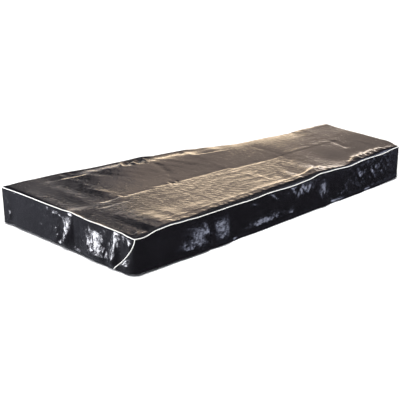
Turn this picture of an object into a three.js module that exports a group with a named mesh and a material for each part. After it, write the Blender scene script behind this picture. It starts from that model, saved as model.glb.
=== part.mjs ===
// Fitted vinyl cover for a tapered xylophone, draped as it hangs in use: a top panel, four skirts
// turned up into a hem, and white piping sewn into the top seam and the four corner seams.
// Millimetres, +Z up. X runs from the wide low-note end (-X) to the narrow high-note end (+X) and
// the front is at -Y. The origin is under the middle of the top panel, where the cover rests.
import * as THREE from "three";

// Driving dimensions
const LENGTH = 1420; // seam to seam along X
const WIDE_END = 725; // seam to seam across the low-note end
const NARROW_END = 388; // seam to seam across the high-note end
const DROP = 124; // from the top seam down to the hem
const SHEET = 1.5; // thickness of the vinyl cloth
const PIPING_RADIUS = 1.5; // bead of the welt piping
const GAP = 0.3; // between neighbouring pieces
const SEAM_LEVEL = 7; // centre of the top piping, above the rest under the middle of the top
const HEM_DEPTH = 14; // height of the turned-up hem
const HEM_STEP = 0.45; // how far the doubled hem stands out on each face
const PIPING_SIDES = 8;
const HANG = PIPING_RADIUS + GAP; // from the centre of a piping to the cloth beside it

// Corners in plan, in loop order seen from above: the cut with what a slack corner stands out from
// it, the radius at the seam and at the hem, and how far the corner seam has slipped back along the
// wall by the hem.
const CORNERS = [
  { name: "front_wide", x: -LENGTH / 2, y: -WIDE_END / 2, seamRadius: 9, hemRadius: 26, slip: 105 },
  { name: "front_narrow", x: LENGTH / 2 + 2.5, y: -NARROW_END / 2 - 2.5, seamRadius: 6, hemRadius: 18, slip: 0 },
  { name: "back_narrow", x: LENGTH / 2, y: NARROW_END / 2, seamRadius: 13, hemRadius: 18, slip: 0 },
  { name: "back_wide", x: -LENGTH / 2 - 4, y: WIDE_END / 2 + 4.5, seamRadius: 3, hemRadius: 16, slip: 0 },
];
const SLIP_POWER = 1.6; // a slipped seam leaves its corner slowly, then runs away from it

// How far the top seam rises above its level, by the distance along each side from its first corner
const SEAM_RISE = {
  front: [
    [0, 0], [40, -3], [105, 6], [160, 7.5], [230, 3.5], [310, -1], [450, -3], [590, -6.5], [660, -4.5],
    [800, -10], [880, -8], [950, -1], [1010, -4.5], [1130, -12], [1210, -7.5], [1330, -10], [1400, -5],
    [1430, -4],
  ],
  narrow_end: [[0, -4], [60, 5], [170, 3.5], [300, -1], [388, 1]],
  back: [
    [0, 1], [127, -3], [207, -12], [295, -11], [430, -13], [536, -5], [604, 1.5], [676, 7.5],
    [806, 7.5], [864, 12.5], [942, 9.5], [1074, 7], [1203, 9], [1340, 6], [1430, 0],
  ],
  wide_end: [
    [0, 0], [100, 3], [250, 3.5], [345, 4.5], [397, 8], [432, 6], [485, 3.5], [560, 5], [660, 5],
    [700, 1], [725, 0],
  ],
};

// How far the hem rises above a level line DROP below the seam level
const HEM_RISE = {
  front: [
    [0, 3], [40, 4.5], [100, 2.5], [160, 1], [280, -1], [400, -3.8], [480, -5.5], [580, -6],
    [800, -5.5], [1000, -5], [1130, -7.4], [1300, -5.5], [1430, 0],
  ],
  narrow_end: [[0, 0], [200, -3], [388, 0]],
  back: [[0, 0], [350, -5], [800, -2], [1430, -1]],
  wide_end: [[0, -1], [90, 2], [260, 2.6], [360, 1.7], [440, -1], [600, -3], [680, -2], [725, 3]],
};

// Hanging folds of the skirts: place along the seam, sideways lean of the fold by the hem, half
// width, depth, outward when positive, and the part of the depth that is left at the hem
const FOLDS = {
  front: [
    { at: 120, lean: 10, half: 90, depth: 2, atHem: 0.6 },
    { at: 300, lean: 6, half: 58, depth: 11, atHem: 0.5 },
    { at: 366, lean: -4, half: 14, depth: -6, atHem: 0.4 },
    { at: 414, lean: 6, half: 52, depth: 11, atHem: 0.4 },
    { at: 474, lean: 6, half: 16, depth: -5, atHem: 0.3 },
    { at: 520, lean: 8, half: 40, depth: -3, atHem: 0.9 },
    { at: 850, lean: 12, half: 44, depth: 2, atHem: 0.4 },
    { at: 964, lean: 10, half: 28, depth: 8, atHem: 0.5 },
    { at: 1035, lean: 0, half: 36, depth: -4, atHem: 0.6 },
    { at: 1190, lean: 0, half: 26, depth: 3, atHem: 0.5 },
    { at: 1230, lean: 0, half: 24, depth: -3, atHem: 0.5 },
    { at: 1275, lean: 0, half: 24, depth: 1.5, atHem: 0.5 },
  ],
  narrow_end: [
    { at: 95, lean: 8, half: 45, depth: 5, atHem: 0.4 },
    { at: 190, lean: -6, half: 40, depth: -5, atHem: 0.4 },
    { at: 290, lean: 10, half: 46, depth: 5, atHem: 0.4 },
  ],
  back: [
    { at: 120, lean: 6, half: 55, depth: 5, atHem: 0.4 },
    { at: 240, lean: -10, half: 40, depth: -6, atHem: 0.4 },
    { at: 370, lean: 12, half: 80, depth: 6, atHem: 0.4 },
    { at: 520, lean: -14, half: 34, depth: -6, atHem: 0.4 },
    { at: 650, lean: 8, half: 70, depth: 7, atHem: 0.4 },
    { at: 790, lean: 10, half: 30, depth: -6, atHem: 0.4 },
    { at: 880, lean: -6, half: 46, depth: 7, atHem: 0.4 },
    { at: 1010, lean: 10, half: 50, depth: -5, atHem: 0.4 },
    { at: 1160, lean: 0, half: 90, depth: 6, atHem: 0.4 },
    { at: 1330, lean: -10, half: 46, depth: -4, atHem: 0.4 },
  ],
  wide_end: [
    { at: 52, lean: 10, half: 24, depth: -3, atHem: 1 },
    { at: 175, lean: 0, half: 95, depth: 0.8, atHem: 0.5 },
    { at: 376, lean: -6, half: 22, depth: 12, atHem: 0.1 },
    { at: 434, lean: 6, half: 24, depth: -3, atHem: 0.2 },
    { at: 518, lean: -4, half: 46, depth: 12, atHem: 0.2 },
    { at: 634, lean: -8, half: 26, depth: 12, atHem: 0.2 },
    { at: 700, lean: 0, half: 20, depth: 4, atHem: 0.3 },
  ],
};
// Shares of the drop at which the folds of each side begin to stand out and reach their full depth
const FOLD_SPAN = {
  front: { start: 0.15, full: 0.9 },
  narrow_end: { start: 0.03, full: 0.72 },
  back: { start: 0.03, full: 0.72 },
  wide_end: { start: 0.06, full: 0.86 },
};
const FOLD_CLEAR = 60; // distance from a corner within which folds die out

// Storage creases of the top panel and the slack ridge along its back, each a ridge (rise over 0) or
// trough running through its points, with its half widths to the right and left of its run
const CREASES = [
  { right: 14, left: 14, rise: -0.8, through: [[-556, 0], [-470, 10], [-343, 15]] },
  { right: 14, left: 18, rise: -1, through: [[-290, 28], [-215, 28], [22, 29]] },
  { right: 14, left: 20, rise: -0.8, through: [[52, 15], [150, 8], [250, 0]] },
  { right: 14, left: 20, rise: 0.9, through: [[300, 4], [400, 3], [480, 4], [552, 0]] },
  { right: 14, left: 13, rise: -0.8, through: [[-602, -48], [-488, -42]] },
  { right: 100, left: 42, rise: 7.5, through: [[-400, 268], [-300, 257], [-230, 233], [-60, 207], [10, 199]] },
  { right: 28, left: 28, rise: 1.5, through: [[-512, 320], [-490, 60], [-480, 10]] },
];

// Broad swells of the top panel: centre, half extents and rise
const SWELLS = [
  { x: -600, y: 190, halfX: 38, halfY: 160, rise: 1.2 },
  { x: -548, y: 190, halfX: 36, halfY: 160, rise: -0.9 },
  { x: -365, y: 170, halfX: 42, halfY: 170, rise: -0.7 },
  { x: -316, y: 190, halfX: 36, halfY: 150, rise: 0.6 },
  { x: 130, y: 205, halfX: 55, halfY: 45, rise: 3 },
  { x: 625, y: -150, halfX: 40, halfY: 60, rise: 3 },
  { x: 545, y: -160, halfX: 170, halfY: 45, rise: -2.2 },
  { x: 450, y: -214, halfX: 75, halfY: 28, rise: 2.4 },
  { x: 606, y: -192, halfX: 50, halfY: 32, rise: 3.4 },
  { x: -390, y: 262, halfX: 110, halfY: 75, rise: -4 },
  { x: -390, y: -255, halfX: 85, halfY: 50, rise: 2.6 },
];

// The panel was stored folded along its middle, so it lies in a shallow trough of two flat halves on
// either side of the fold line. Between two places near the narrow end it loses a part of its depth
const TROUGH = { x: -60, halfX: 520, depth: 15, power: 0.85, lost: 0.5, lostFrom: 240, lostTo: 350 };
const FOLD_LINE = [[-710, 0], [-556, 0], [-400, 14], [-300, 28], [22, 29], [70, 14], [250, 0], [710, 0]];

// The slack facet at the front of the wide end falls from its ridge line to the seam
const FACET = { ridgeX: -597, endX: -LENGTH / 2, backY: -20, fadeY: 45, fall: 1.5 };

// Width of the band over which the top rolls down to each seam, by the distance along its side
const ROLL = {
  front: [[0, 18], [90, 9], [250, 9], [340, 18], [880, 18], [1000, 9], [1430, 9]],
  narrow_end: [[0, 16], [388, 16]],
  back: [[0, 30], [500, 30], [620, 24], [1430, 24]],
  wide_end: [[0, 18], [725, 18]],
};

// How the panel follows the rises of its seams: how far in from a side that stays level, the reach
// and power with which it then dies out, and by the distance along the side the part followed
const FOLLOW = {
  front: {
    level: 30,
    reach: 130,
    power: 2,
    parts: [[0, 0], [50, 0], [110, 1], [250, 1], [360, 0.3], [850, 0.3], [1050, 1.1], [1430, 1.1]],
  },
  narrow_end: {
    level: 0,
    reach: 50,
    power: 2,
    parts: [[0, 0.7], [388, 0.7]],
  },
  back: {
    level: 0,
    reach: 60,
    power: 1,
    parts: [[0, 0.8], [540, 0.8], [660, 0.15], [1430, 0.15]],
  },
  wide_end: {
    level: 0,
    reach: 50,
    power: 2,
    parts: [[0, 0.45], [380, 0.45], [470, 0], [725, 0]],
  },
};

// Stations shared by every piece, so neighbours keep their gap: distances from the wide end along
// the front and back, shares of the width from the back at the two ends, shares of the drop
const LONG_STEPS = [
  0, 4, 8, 13, 24, 44, 70, 98, 126, 154, 180, 206, 222, 236, 250, 272, 300, 328, 352, 374, 400, 430,
  456, 474, 490, 506, 526, 556, 590, 624, 658, 692, 720, 738, 754, 772, 796, 824, 852, 880, 908, 934,
  956, 976, 992, 1008, 1030, 1060, 1092, 1126, 1160, 1190, 1220, 1248, 1262, 1278, 1304, 1334, 1364,
  1388,
];
const LONG_TAIL = [22, 13, 8, 4, 0]; // the last stations, measured back from the narrow end
const CROSS_SHARES = [
  0, 0.008, 0.018, 0.038, 0.07, 0.12, 0.18, 0.245, 0.31, 0.37, 0.42, 0.452, 0.475, 0.498, 0.522,
  0.555, 0.6, 0.66, 0.72, 0.78, 0.84, 0.89, 0.93, 0.962, 0.982, 0.992, 1,
];
const DROP_SHARES = [0, 0.07, 0.2, 0.38, 0.56, 0.74];

const clamp = THREE.MathUtils.clamp;
const lerp = THREE.MathUtils.lerp;
const ease = (share) => THREE.MathUtils.smoothstep(share, 0, 1);
const bump = (offset) => Math.exp(-offset * offset);

// Value of a table of [distance, value] rows at a distance, eased from row to row
function tableAt(rows, at) {
  const next = rows.findIndex((row) => row[0] >= at);
  if (next === 0) return rows[0][1];
  if (next < 0) return rows[rows.length - 1][1];
  const [[from, before], [to, after]] = [rows[next - 1], rows[next]];
  return lerp(before, after, ease((at - from) / (to - from)));
}

// The four sides in loop order: direction along, outward normal, length and start of each
const SIDES = ["front", "narrow_end", "back", "wide_end"].map((name, k) => {
  const from = CORNERS[k];
  const to = CORNERS[(k + 1) % 4];
  const length = Math.hypot(to.x - from.x, to.y - from.y);
  const along = new THREE.Vector2((to.x - from.x) / length, (to.y - from.y) / length);
  const out = new THREE.Vector2(along.y, -along.x);
  return { name, from, to, length, along, out };
});
SIDES.forEach((side, k) => {
  const before = SIDES[(k + 3) % 4];
  side.start = SIDES.slice(0, k).reduce((sum, earlier) => sum + earlier.length, 0);
  side.turn = Math.acos(clamp(before.along.dot(side.along), -1, 1));
});
const LOOP = SIDES.reduce((sum, side) => sum + side.length, 0);

// Side and distance along it of a place on the loop
function sideAt(place) {
  const wrapped = ((place % LOOP) + LOOP) % LOOP;
  const k = SIDES.findLastIndex((side) => wrapped >= side.start - 1e-9);
  return { k, side: SIDES[k], at: wrapped - SIDES[k].start };
}

const radiusAt = (corner, share) => lerp(corner.seamRadius, corner.hemRadius, share);

// Plan point and outward normal of the rounded outline, at a place on the loop and share of the drop
function outline(place, share) {
  const { k, side, at } = sideAt(place);
  const startTurn = side.turn / 2;
  const endTurn = SIDES[(k + 1) % 4].turn / 2;
  const startRadius = radiusAt(side.from, share);
  const endRadius = radiusAt(side.to, share);
  const startRun = startRadius * Math.tan(startTurn);
  const endRun = endRadius * Math.tan(endTurn);
  const left = side.length - at;
  let [base, radius, swing] = [at, 0, 0];
  if (at < startRun) {
    [base, radius, swing] = [startRun, startRadius, -startTurn * (1 - at / startRun)];
  } else if (left < endRun) {
    [base, radius, swing] = [side.length - endRun, endRadius, endTurn * (1 - left / endRun)];
  }
  const normal = new THREE.Vector2(
    side.out.x * Math.cos(swing) + side.along.x * Math.sin(swing),
    side.out.y * Math.cos(swing) + side.along.y * Math.sin(swing),
  );
  const x = side.from.x + side.along.x * base + (normal.x - side.out.x) * radius;
  const y = side.from.y + side.along.y * base + (normal.y - side.out.y) * radius;
  return { x, y, normal };
}

// Height of the top seam, and of the hem, at a place on the loop
function seamHeight(place) {
  const { side, at } = sideAt(place);
  return SEAM_LEVEL + tableAt(SEAM_RISE[side.name], at);
}

function hemHeight(place) {
  const { side, at } = sideAt(place);
  return SEAM_LEVEL - DROP + tableAt(HEM_RISE[side.name], at);
}

// How far the hanging folds push the wall out at a place and share of the drop
function foldAt(place, share) {
  const { side, at } = sideAt(place);
  const { start, full } = FOLD_SPAN[side.name];
  const risen = ease(clamp((share - start) / (full - start), 0, 1));
  const lower = ease(clamp((share - full) / (1 - full), 0, 1));
  const nearCorner = ease(clamp(Math.min(at, side.length - at) / FOLD_CLEAR, 0, 1));
  const push = FOLDS[side.name].reduce(
    (sum, { at: spot, lean, half, depth, atHem }) =>
      sum + depth * lerp(1, atHem, lower) * bump((at - spot - lean * share) / half),
    0,
  );
  return push * risen * nearCorner;
}

// Point of a wall: its middle surface moved outward by a distance
function wallPoint(place, share, outward) {
  const plan = outline(place, share);
  const push = foldAt(place, share) + outward;
  const top = seamHeight(place) - HANG;
  const z = lerp(top, hemHeight(place), share);
  return new THREE.Vector3(plan.x + plan.normal.x * push, plan.y + plan.normal.y * push, z);
}

// Place of a corner seam at a share of the drop, and how much its slant widens a level cut of it
function cornerSeam(k, share) {
  return SIDES[k].start - CORNERS[k].slip * share ** SLIP_POWER;
}

function seamStretch(k, share) {
  return Math.hypot(1, (CORNERS[k].slip * SLIP_POWER * share ** (SLIP_POWER - 1)) / DROP);
}

// Distance on the loop from a corner seam to the cloth beside it: more on the rounded corner, where
// the loop's distances are drawn together
function besideSeam(k, share) {
  const half = SIDES[k].turn / 2;
  const run = radiusAt(CORNERS[k], share) * Math.tan(half);
  const past = clamp((SIDES[k].start - cornerSeam(k, share)) / run - 1, 0, 1);
  const drawn = lerp(Math.tan(half) / half, 1, past);
  return HANG * seamStretch(k, share) * drawn;
}

// Rise of a crease at a point, fading out across it and past its two ends
function creaseAt({ right, left, rise, through }, x, y) {
  let [nearest, half] = [Infinity, right];
  for (let k = 0; k + 1 < through.length; k++) {
    const [ax, ay] = through[k];
    const [bx, by] = through[k + 1];
    const [dx, dy] = [bx - ax, by - ay];
    const share = clamp(((x - ax) * dx + (y - ay) * dy) / (dx * dx + dy * dy), 0, 1);
    const [offX, offY] = [x - ax - dx * share, y - ay - dy * share];
    const away = Math.hypot(offX, offY);
    if (away < nearest) [nearest, half] = [away, dx * offY > dy * offX ? left : right];
  }
  return rise * bump(nearest / half);
}

// How far the panel follows its seams at a point of the plan
function followAt(x, y) {
  const u = clamp(x / LENGTH + 0.5, 0, 1);
  const width = lerp(WIDE_END, NARROW_END, u);
  const v = clamp(0.5 - y / width, 0, 1);
  const beside = [
    { share: u, inward: width * (1 - v) },
    { share: 1 - v, inward: LENGTH * (1 - u) },
    { share: 1 - u, inward: width * v },
    { share: v, inward: LENGTH * u },
  ];
  return beside.reduce((sum, { share, inward }, k) => {
    const { name, length, start } = SIDES[k];
    const at = share * length * (1 - 1e-9);
    const { level, reach, power, parts } = FOLLOW[name];
    const rise = seamHeight(start + at) - SEAM_LEVEL;
    const fading = Math.exp(-((Math.max(inward - level, 0) / reach) ** power));
    return sum + tableAt(parts, at) * rise * fading;
  }, 0);
}

// Height of the underside of the top panel, before it rolls down to its seams
function reliefAt(x, y) {
  const creases = CREASES.reduce((sum, crease) => sum + creaseAt(crease, x, y), 0);
  const swells = SWELLS.reduce(
    (sum, swell) => sum + swell.rise * bump((x - swell.x) / swell.halfX) * bump((y - swell.y) / swell.halfY),
    0,
  );
  const halfWidth = lerp(WIDE_END, NARROW_END, clamp(x / LENGTH + 0.5, 0, 1)) / 2;
  const flank = clamp(1 - Math.abs(y - tableAt(FOLD_LINE, x)) / halfWidth, 0, 1) ** TROUGH.power;
  const shallower = ease(clamp((x - TROUGH.lostFrom) / (TROUGH.lostTo - TROUGH.lostFrom), 0, 1));
  const depth = TROUGH.depth * (1 - TROUGH.lost * shallower);
  const trough = depth * flank * bump((x - TROUGH.x) / TROUGH.halfX);
  const fallen = clamp((x - FACET.ridgeX) / (FACET.endX - FACET.ridgeX), 0, 1);
  const inFacet = ease(clamp((FACET.backY - y) / FACET.fadeY, 0, 1));
  return creases + swells + followAt(x, y) - trough - FACET.fall * fallen * inFacet;
}
const LEVEL = reliefAt(0, 0); // the rest under the middle is the origin

// Closed sheet between two grids of points, rows running down and columns to the right as seen
// from the outer face
function closedSheet(outer, inner) {
  const rows = outer.length;
  const columns = outer[0].length;
  const points = [...outer.flat(), ...inner.flat()];
  const index = [];
  const quad = (a, b, c, d) => index.push(a, b, c, a, c, d);
  const at = (row, column) => row * columns + column;
  const under = rows * columns;
  for (let row = 0; row + 1 < rows; row++) {
    for (let column = 0; column + 1 < columns; column++) {
      const corners = [at(row, column), at(row + 1, column), at(row + 1, column + 1), at(row, column + 1)];
      quad(...corners);
      quad(...corners.map((k) => k + under).reverse());
    }
  }
  const edge = (a, b) => quad(b, a, a + under, b + under);
  for (let column = 0; column + 1 < columns; column++) {
    edge(at(0, column + 1), at(0, column));
    edge(at(rows - 1, column), at(rows - 1, column + 1));
  }
  for (let row = 0; row + 1 < rows; row++) {
    edge(at(row, 0), at(row + 1, 0));
    edge(at(row + 1, columns - 1), at(row, columns - 1));
  }
  return new THREE.BufferGeometry().setFromPoints(points).setIndex(index);
}

// Round cord through centres with two directions across each, closed on itself or with flat ends
function cord(stations, closed) {
  const points = stations.flatMap(({ centre, out, up }) =>
    Array.from({ length: PIPING_SIDES }, (_, k) => {
      const angle = (2 * Math.PI * (k + 0.5)) / PIPING_SIDES;
      return centre
        .clone()
        .addScaledVector(out, PIPING_RADIUS * Math.cos(angle))
        .addScaledVector(up, PIPING_RADIUS * Math.sin(angle));
    }),
  );
  const index = [];
  const at = (ring, k) => (ring % stations.length) * PIPING_SIDES + (k % PIPING_SIDES);
  const lengths = closed ? stations.length : stations.length - 1;
  for (let ring = 0; ring < lengths; ring++) {
    for (let k = 0; k < PIPING_SIDES; k++) {
      const [a, b, c, d] = [at(ring, k), at(ring + 1, k), at(ring + 1, k + 1), at(ring, k + 1)];
      index.push(a, b, c, a, c, d);
    }
  }
  for (let k = 1; k + 1 < PIPING_SIDES && !closed; k++) {
    const last = stations.length - 1;
    index.push(at(0, 0), at(0, k), at(0, k + 1), at(last, 0), at(last, k + 1), at(last, k));
  }
  return new THREE.BufferGeometry().setFromPoints(points).setIndex(index);
}

// Distances of the stations along each side from its first corner
const [frontLength, narrowLength, backLength, wideLength] = SIDES.map((side) => side.length);
const fromWide = [...LONG_STEPS, ...LONG_TAIL.map((back) => frontLength - back)];
const backFromWide = fromWide.map((at) => backLength * (1 - at / frontLength));
const STATIONS = {
  front: fromWide,
  narrow_end: CROSS_SHARES.map((share) => (1 - share) * narrowLength).reverse(),
  back: backFromWide.slice().reverse(),
  wide_end: CROSS_SHARES.map((share) => share * wideLength),
};

// Outline point of the top panel's edge beside the piping
function panelEdge(side, at) {
  const place = side.start + at;
  const plan = outline(place, 0);
  return { x: plan.x - plan.normal.x * HANG, y: plan.y - plan.normal.y * HANG, z: seamHeight(place) };
}

// Rows of the top panel from back to front, columns from the wide end to the narrow end: the plan
// blends the four edges, and the height rolls from the nearest seams up to the relief
function topGrid(lift) {
  const [front, narrow, back, wide] = SIDES;
  const fronts = fromWide.map((at) => panelEdge(front, at));
  const backs = backFromWide.map((at) => panelEdge(back, at));
  const wides = CROSS_SHARES.map((share) => panelEdge(wide, share * wideLength));
  const narrows = CROSS_SHARES.map((share) => panelEdge(narrow, (1 - share) * narrowLength));
  const lastColumn = fromWide.length - 1;
  const lastRow = CROSS_SHARES.length - 1;
  return CROSS_SHARES.map((v, row) =>
    fromWide.map((at, column) => {
      const u = at / frontLength;
      const blend = (axis) =>
        (1 - v) * backs[column][axis] + v * fronts[column][axis] +
        (1 - u) * wides[row][axis] + u * narrows[row][axis] -
        (1 - u) * ((1 - v) * backs[0][axis] + v * fronts[0][axis]) -
        u * ((1 - v) * backs[lastColumn][axis] + v * fronts[lastColumn][axis]);
      const [x, y] = [blend("x"), blend("y")];
      const width = lerp(WIDE_END, NARROW_END, u);
      const reaches = [
        { edge: backs[column], away: (v * width) / tableAt(ROLL.back, backLength * (1 - u)) },
        { edge: fronts[column], away: ((1 - v) * width) / tableAt(ROLL.front, at) },
        { edge: wides[row], away: (u * LENGTH) / tableAt(ROLL.wide_end, v * wideLength) },
        { edge: narrows[row], away: ((1 - u) * LENGTH) / tableAt(ROLL.narrow_end, (1 - v) * narrowLength) },
      ];
      const onEdge = row === 0 || row === lastRow || column === 0 || column === lastColumn;
      const nearest = reaches.reduce((best, reach) => (reach.away < best.away ? reach : best));
      const weights = reaches.map(({ away }) => 1 / (away + 0.02) ** 3);
      const sum = weights.reduce((total, weight) => total + weight, 0);
      const blended = reaches.reduce((total, { edge }, k) => total + edge.z * weights[k], 0) / sum;
      const seam = (onEdge ? nearest.edge.z : blended) - SHEET / 2;
      const risen = 1 - (1 - Math.min(nearest.away, 1)) ** 2;
      const under = onEdge ? seam : lerp(seam, reliefAt(x, y) - LEVEL, risen);
      return new THREE.Vector3(x, y, under + lift);
    }),
  );
}

// Rows of a skirt from seam to hem, with the doubled hem standing out below its fold line
const hemStart = 1 - HEM_DEPTH / DROP;
const SKIRT_ROWS = [
  ...DROP_SHARES.map((share) => ({ share, proud: 0 })),
  { share: hemStart - 0.008, proud: 0 },
  { share: hemStart, proud: HEM_STEP },
  { share: 1, proud: HEM_STEP },
];

// Skirt of one side, from corner seam to corner seam, with the cloth centred on the wall
function skirt(k) {
  const side = SIDES[k];
  const end = (k + 1) % 4;
  const { slip } = CORNERS[k];
  const wrapped = [0.75 * slip, 0.5 * slip, 0.25 * slip, 22, 13, 6].map((past) => -past);
  const steps = [...wrapped, ...STATIONS[side.name]].filter((at) => slip > 0 || at > 0);
  const crowd = 0.7; // least spacing of the stations gathered beside a slipped seam
  const face = (sign) =>
    SKIRT_ROWS.map(({ share, proud }) => {
      const first = cornerSeam(k, share) + besideSeam(k, share);
      const last = cornerSeam(end, share) + (end === 0 ? LOOP : 0) - besideSeam(end, share);
      const inner = steps.filter((at) => at < side.length - 0.1);
      const count = inner.length;
      const places = inner.map((at, n) =>
        clamp(side.start + at, first + crowd * (n + 1), last - crowd * (count - n)),
      );
      return [first, ...places, last].map((place) => wallPoint(place, share, sign * (SHEET / 2 + proud)));
    });
  return closedSheet(face(1), face(-1));
}

// Piping round the top seam
function topPiping() {
  const up = new THREE.Vector3(0, 0, 1);
  const stations = SIDES.flatMap((side) =>
    STATIONS[side.name].slice(0, -1).map((at) => {
      const place = side.start + at;
      const plan = outline(place, 0);
      return {
        centre: new THREE.Vector3(plan.x, plan.y, seamHeight(place)),
        out: new THREE.Vector3(plan.normal.x, plan.normal.y, 0),
        up,
      };
    }),
  );
  return cord(stations, true);
}

// Piping down a corner seam, standing just outside the cloth, cut level at the top piping and hem
function cornerPiping(k) {
  const stations = SKIRT_ROWS.map(({ share }) => {
    const place = cornerSeam(k, share);
    const { normal } = outline(place, share);
    return {
      centre: wallPoint(place, share, SHEET / 2),
      out: new THREE.Vector3(normal.x, normal.y, 0),
      up: new THREE.Vector3(-normal.y, normal.x, 0).multiplyScalar(seamStretch(k, share)),
    };
  });
  return cord(stations, false);
}

const vinyl = new THREE.MeshStandardMaterial({ name: "black_vinyl", color: 0x19181c, roughness: 0.35 });
const welt = new THREE.MeshStandardMaterial({ name: "white_piping", color: 0xf1efe9, roughness: 0.5 });
const cover = new THREE.Group();
cover.name = "xylophone_cover";

function add(name, geometry, material) {
  geometry.computeVertexNormals();
  const mesh = new THREE.Mesh(geometry, material);
  mesh.name = name;
  cover.add(mesh);
}

add("top_panel", closedSheet(topGrid(SHEET), topGrid(0)), vinyl);
SIDES.forEach((side, k) => add(`${side.name}_skirt`, skirt(k), vinyl));
add("top_piping", topPiping(), welt);
CORNERS.forEach((corner, k) => add(`${corner.name}_piping`, cornerPiping(k), welt));

export default cover;
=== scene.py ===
"""Fitted xylophone cover of black vinyl cloth with white piping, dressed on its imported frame.

The cover is built as it hangs in use. All tables are in millimetres in the frame of the CAD
model: X from the wide low-note end to the narrow end, front at -Y, Z up, origin under the middle
of the top panel. Meshes are written in metres.
"""

import math

import bpy
import numpy as np
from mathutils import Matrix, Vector


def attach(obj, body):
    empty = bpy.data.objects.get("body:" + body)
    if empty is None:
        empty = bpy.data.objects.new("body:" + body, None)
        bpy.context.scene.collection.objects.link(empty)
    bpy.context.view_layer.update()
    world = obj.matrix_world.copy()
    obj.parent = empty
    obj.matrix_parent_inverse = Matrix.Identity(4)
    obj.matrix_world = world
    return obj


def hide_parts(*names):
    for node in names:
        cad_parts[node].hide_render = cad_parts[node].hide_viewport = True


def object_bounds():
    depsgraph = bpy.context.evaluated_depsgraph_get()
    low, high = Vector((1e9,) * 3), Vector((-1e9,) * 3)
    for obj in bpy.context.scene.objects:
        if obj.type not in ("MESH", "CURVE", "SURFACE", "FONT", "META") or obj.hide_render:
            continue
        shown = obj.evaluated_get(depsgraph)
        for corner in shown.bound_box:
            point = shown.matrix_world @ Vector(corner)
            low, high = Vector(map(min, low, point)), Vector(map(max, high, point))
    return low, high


bl_info = {
    "name": "Xylophone cover",
    "version": (1, 0, 0),
    "blender": (4, 5, 0),
    "location": "View3D > Sidebar > Cover",
    "description": "Builds a tapered, fitted vinyl cover with piped seams and its studio",
    "category": "Add Mesh",
}

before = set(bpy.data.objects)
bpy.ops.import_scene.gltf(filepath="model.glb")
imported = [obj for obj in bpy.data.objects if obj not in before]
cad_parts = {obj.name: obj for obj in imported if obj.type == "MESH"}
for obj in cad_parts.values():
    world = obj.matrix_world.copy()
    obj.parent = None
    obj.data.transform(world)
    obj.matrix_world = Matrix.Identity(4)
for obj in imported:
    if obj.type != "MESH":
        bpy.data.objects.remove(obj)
CAD_BOX = [[float(value) for value in corner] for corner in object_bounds()]

MM = 0.001
GAP = 0.3  # between neighbouring pieces
SIDES = ("front", "narrow_end", "back", "wide_end")
CORNERS = ("front_wide", "front_narrow", "back_narrow", "back_wide")
SEAM_LEVEL = 7.0  # centre of the top piping above the rest under the middle
SEAM_RADIUS = np.array([9.0, 6, 13, 3])  # of the four corners in plan, at the top seam
HEM_RADIUS = np.array([26.0, 18, 18, 16])  # and at the hem
EARS = np.array([(0, 0), (2.5, -2.5), (0, 0), (-4, 4.5)])  # how far slack corners stand out from the cut
SLIP = np.array([105.0, 0, 0, 0])  # how far each corner seam has slipped along the wall by the hem
SLIP_POWER = 1.6  # it grows with the share of the drop to this power

HEM_STEP = 0.45  # how far the doubled hem stands out on each face
HEM_BLEND = 7  # height over which it comes to stand out
HEM_HELD = (0.35, 10)  # part of the fine relief that the hem lets through, height of the change
STITCH_HEIGHT = 10.5  # of the hem's sewing line above the edge
STITCH_DRAWN = (0.25, 2.6)  # depth and half width of the line that the sewing draws in
STITCH_CLEAR = 9  # of the stitches from the corner seams
STITCH_HALF = 0.42  # half length of a stitch, in pitches
STITCH_SUNK = 0.4  # depth of its tips in the cloth
STITCH_ROUND = (0.55, 0.4, 0.2)  # the points round its middle: out, to each side, in

# Rise of the top seam above its level, by the distance along each side
SEAM_RISE = {
    "front": (
        (0, 0), (40, -3), (105, 6), (160, 7.5), (230, 3.5), (310, -1), (450, -3), (590, -6.5), (660, -4.5),
        (800, -10), (880, -8), (950, -1), (1010, -4.5), (1130, -12), (1210, -7.5), (1330, -10), (1400, -5),
        (1430, -4),
    ),
    "narrow_end": ((0, -4), (60, 5), (170, 3.5), (300, -1), (388, 1)),
    "back": (
        (0, 1), (127, -3), (207, -12), (295, -11), (430, -13), (536, -5), (604, 1.5), (676, 7.5),
        (806, 7.5), (864, 12.5), (942, 9.5), (1074, 7), (1203, 9), (1340, 6), (1430, 0),
    ),
    "wide_end": (
        (0, 0), (100, 3), (250, 3.5), (345, 4.5), (397, 8), (432, 6), (485, 3.5), (560, 5), (660, 5),
        (700, 1), (725, 0),
    ),
}

# Rise of the hem above a level line
HEM_RISE = {
    "front": (
        (0, 3), (40, 4.5), (100, 2.5), (160, 1), (280, -1), (400, -3.8), (480, -5.5), (580, -6),
        (800, -5.5), (1000, -5), (1130, -7.4), (1300, -5.5), (1430, 0),
    ),
    "narrow_end": ((0, 0), (200, -3), (388, 0)),
    "back": ((0, 0), (350, -5), (800, -2), (1430, -1)),
    "wide_end": ((0, -1), (90, 2), (260, 2.6), (360, 1.7), (440, -1), (600, -3), (680, -2), (725, 3)),
}

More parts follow.
